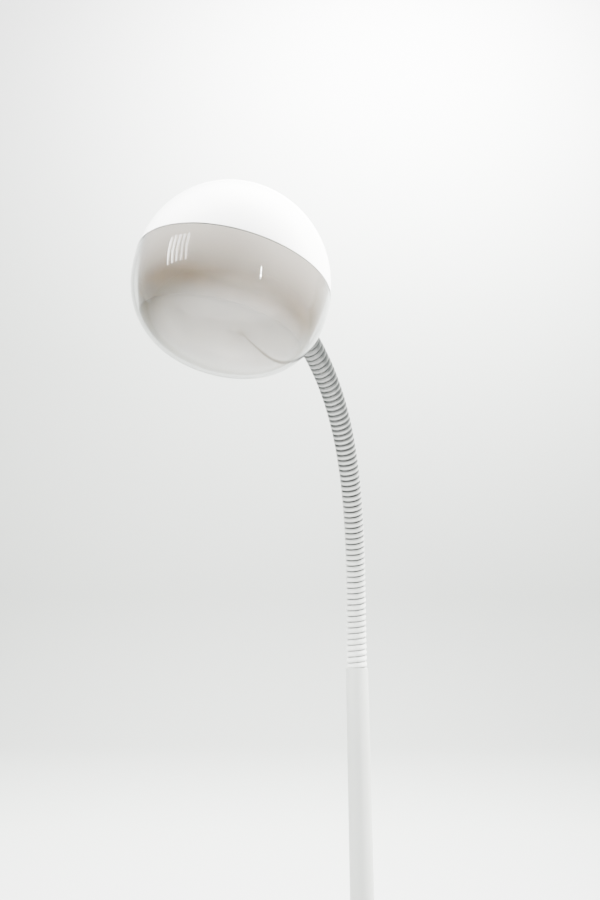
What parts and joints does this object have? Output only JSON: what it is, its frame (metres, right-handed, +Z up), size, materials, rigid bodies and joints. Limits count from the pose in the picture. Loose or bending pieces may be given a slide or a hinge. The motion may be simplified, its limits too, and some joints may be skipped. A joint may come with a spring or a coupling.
{
  "type": "examination_lamp",
  "caption": "Mobile examination lamp with a white ball head, clear domed cover, ribbed flexible gooseneck, slim pole and castor base",
  "frame": {"origin": "on the floor, on the pole axis", "axes": "+Z up along the pole, -Y towards the side the head leans to, +X to the right seen from that side"},
  "size_m": [0.5902, 0.5613, 1.5612],
  "materials": {
    "shell_white": "glossy moulded",
    "cover_clear": "clear, glossy",
    "bowl_pearl": "pearl satin",
    "diffuser_frosted": "frosted",
    "ring_aluminium": "as machined",
    "seal_rubber": "matt",
    "screw_steel": "zinc plated",
    "board_white": "white solder mask",
    "led_yellow": "phosphor",
    "board_green": "green solder mask",
    "switch_black": "matt moulded",
    "button_grey": "satin moulded",
    "lead_white": "matt sheath",
    "gooseneck_satin": "satin wound strip under a light grey sleeve",
    "pole_white": "white powder coat",
    "steel_plain": "plated",
    "base_white": "white powder coat",
    "castor_grey": "satin moulded",
    "axle_steel": "plated",
    "wheel_tread": "matt"
  },
  "bodies": {
    "stand": {"upper_pole": "pole_white", "pole_joiner": "steel_plain", "lower_pole": "pole_white", "neck_base": "gooseneck_satin", "set_screws": "screw_steel", "pole_lead": "lead_white", "base_hub": "base_white", "base_plate": "steel_plain", "leg_screws": "screw_steel", "cord_gland": "switch_black", "base_leg_1": "base_white", "base_leg_2": "base_white", "base_leg_3": "base_white", "base_leg_4": "base_white", "base_leg_5": "base_white"},
    "link_1": {"neck_link_1": "gooseneck_satin"},
    "link_2": {"neck_link_2": "gooseneck_satin"},
    "link_3": {"neck_link_3": "gooseneck_satin"},
    "link_4": {"neck_link_4": "gooseneck_satin"},
    "link_5": {"neck_link_5": "gooseneck_satin"},
    "link_6": {"neck_link_6": "gooseneck_satin"},
    "link_7": {"neck_link_7": "gooseneck_satin"},
    "link_8": {"neck_link_8": "gooseneck_satin"},
    "link_9": {"neck_link_9": "gooseneck_satin"},
    "link_10": {"neck_link_10": "gooseneck_satin"},
    "link_11": {"neck_link_11": "gooseneck_satin"},
    "head": {"rear_shell": "shell_white", "front_cover": "cover_clear", "inner_bowl": "bowl_pearl", "light_diffuser": "diffuser_frosted", "clamp_ring": "ring_aluminium", "cover_seal": "seal_rubber", "clamp_screws": "screw_steel", "shell_screws": "screw_steel", "heat_sink": "ring_aluminium", "led_board": "board_white", "led_emitters": "led_yellow", "driver_board": "board_green", "push_switch": "switch_black", "neck_collar": "shell_white", "neck_nut": "screw_steel", "head_lead": "lead_white", "neck_end": "gooseneck_satin"},
    "button": {"power_button": "button_grey"},
    "castor_1": {"castor_fork_1": "castor_grey", "castor_axle_1": "axle_steel"},
    "castor_2": {"castor_fork_2": "castor_grey", "castor_axle_2": "axle_steel"},
    "castor_3": {"castor_fork_3": "castor_grey", "castor_axle_3": "axle_steel"},
    "castor_4": {"castor_fork_4": "castor_grey", "castor_axle_4": "axle_steel"},
    "castor_5": {"castor_fork_5": "castor_grey", "castor_axle_5": "axle_steel"},
    "wheel_1": {"castor_wheel_1": "wheel_tread"},
    "wheel_2": {"castor_wheel_2": "wheel_tread"},
    "wheel_3": {"castor_wheel_3": "wheel_tread"},
    "wheel_4": {"castor_wheel_4": "wheel_tread"},
    "wheel_5": {"castor_wheel_5": "wheel_tread"}
  },
  "joints": [
    {"name": "gooseneck_bend", "type": "hinge", "parent": "stand", "child": "link_1", "pos_m": [0, 0, 1.264], "axis": [1, 0.0097, 0], "range_deg": [-17, 12]},
    {"name": "gooseneck_side", "type": "hinge", "parent": "link_1", "child": "link_2", "pos_m": [0.00002, -0.00232, 1.292], "axis": [-0.072, -0.9888, -0.1308], "range_deg": [-12, 12]},
    {"name": "bend_2", "type": "hinge", "parent": "link_2", "child": "link_3", "pos_m": [-0.00015, -0.00735, 1.31965], "axis": [0.9882, -0.1519, -0.0214], "range_deg": [-17, 12]},
    {"name": "side_2", "type": "hinge", "parent": "link_3", "child": "link_4", "pos_m": [-0.00077, -0.01518, 1.34663], "axis": [-0.2286, -0.9166, -0.3279], "range_deg": [-12, 12]},
    {"name": "bend_3", "type": "hinge", "parent": "link_4", "child": "link_5", "pos_m": [-0.00209, -0.02581, 1.37261], "axis": [0.9528, -0.295, -0.0724], "range_deg": [-17, 12]},
    {"name": "side_3", "type": "hinge", "parent": "link_5", "child": "link_6", "pos_m": [-0.00435, -0.03915, 1.39724], "axis": [-0.3554, -0.7771, -0.5195], "range_deg": [-12, 12]},
    {"name": "bend_4", "type": "hinge", "parent": "link_6", "child": "link_7", "pos_m": [-0.00776, -0.05502, 1.42017], "axis": [0.904, -0.4026, -0.1439], "range_deg": [-17, 12]},
    {"name": "side_4", "type": "hinge", "parent": "link_7", "child": "link_8", "pos_m": [-0.01253, -0.07318, 1.44108], "axis": [-0.4347, -0.5822, -0.6871], "range_deg": [-12, 12]},
    {"name": "bend_5", "type": "hinge", "parent": "link_8", "child": "link_9", "pos_m": [-0.01878, -0.09335, 1.45962], "axis": [0.8556, -0.4683, -0.2207], "range_deg": [-17, 12]},
    {"name": "side_5", "type": "hinge", "parent": "link_9", "child": "link_10", "pos_m": [-0.02662, -0.11516, 1.47551], "axis": [-0.4548, -0.3508, -0.8186], "range_deg": [-12, 12]},
    {"name": "bend_6", "type": "hinge", "parent": "link_10", "child": "link_11", "pos_m": [-0.03609, -0.13822, 1.48847], "axis": [0.8195, -0.4969, -0.2856], "range_deg": [-17, 12]},
    {"name": "side_6", "type": "hinge", "parent": "link_11", "child": "head", "pos_m": [-0.04716, -0.16212, 1.49827], "axis": [-0.4107, -0.1042, -0.9058], "range_deg": [-12, 12]},
    {"name": "button_press", "type": "slide", "parent": "head", "child": "button", "axis": [-0.1957, 0.0315, -0.9802], "range_m": [0, 0.002], "stiffness_N_per_m": 800},
    {"name": "castor_swivel_1", "type": "hinge", "parent": "stand", "child": "castor_1", "pos_m": [0, -0.265, 0.064], "axis": [0, 0, 1], "continuous": true},
    {"name": "castor_swivel_2", "type": "hinge", "parent": "stand", "child": "castor_2", "pos_m": [0.25203, -0.08189, 0.064], "axis": [0, 0, 1], "continuous": true},
    {"name": "castor_swivel_3", "type": "hinge", "parent": "stand", "child": "castor_3", "pos_m": [0.15576, 0.21439, 0.064], "axis": [0, 0, 1], "continuous": true},
    {"name": "castor_swivel_4", "type": "hinge", "parent": "stand", "child": "castor_4", "pos_m": [-0.15576, 0.21439, 0.064], "axis": [0, 0, 1], "continuous": true},
    {"name": "castor_swivel_5", "type": "hinge", "parent": "stand", "child": "castor_5", "pos_m": [-0.25203, -0.08189, 0.064], "axis": [0, 0, 1], "continuous": true},
    {"name": "wheel_spin_1", "type": "hinge", "parent": "castor_1", "child": "wheel_1", "pos_m": [0, -0.283, 0.025], "axis": [1, 0, 0], "continuous": true},
    {"name": "wheel_spin_2", "type": "hinge", "parent": "castor_2", "child": "wheel_2", "pos_m": [0.26915, -0.08745, 0.025], "axis": [0.309, 0.9511, 0], "continuous": true},
    {"name": "wheel_spin_3", "type": "hinge", "parent": "castor_3", "child": "wheel_3", "pos_m": [0.16634, 0.22895, 0.025], "axis": [-0.809, 0.5878, 0], "continuous": true},
    {"name": "wheel_spin_4", "type": "hinge", "parent": "castor_4", "child": "wheel_4", "pos_m": [-0.16634, 0.22895, 0.025], "axis": [-0.809, -0.5878, 0], "continuous": true},
    {"name": "wheel_spin_5", "type": "hinge", "parent": "castor_5", "child": "wheel_5", "pos_m": [-0.26915, -0.08745, 0.025], "axis": [0.309, -0.9511, 0], "continuous": true}
  ],
  "couplings": [
    {"joint": "bend_2", "follows": "gooseneck_bend", "ratio": 1},
    {"joint": "side_2", "follows": "gooseneck_side", "ratio": 1},
    {"joint": "bend_3", "follows": "gooseneck_bend", "ratio": 1},
    {"joint": "side_3", "follows": "gooseneck_side", "ratio": 1},
    {"joint": "bend_4", "follows": "gooseneck_bend", "ratio": 1},
    {"joint": "side_4", "follows": "gooseneck_side", "ratio": 1},
    {"joint": "bend_5", "follows": "gooseneck_bend", "ratio": 1},
    {"joint": "side_5", "follows": "gooseneck_side", "ratio": 1},
    {"joint": "bend_6", "follows": "gooseneck_bend", "ratio": 1},
    {"joint": "side_6", "follows": "gooseneck_side", "ratio": 1}
  ]
}
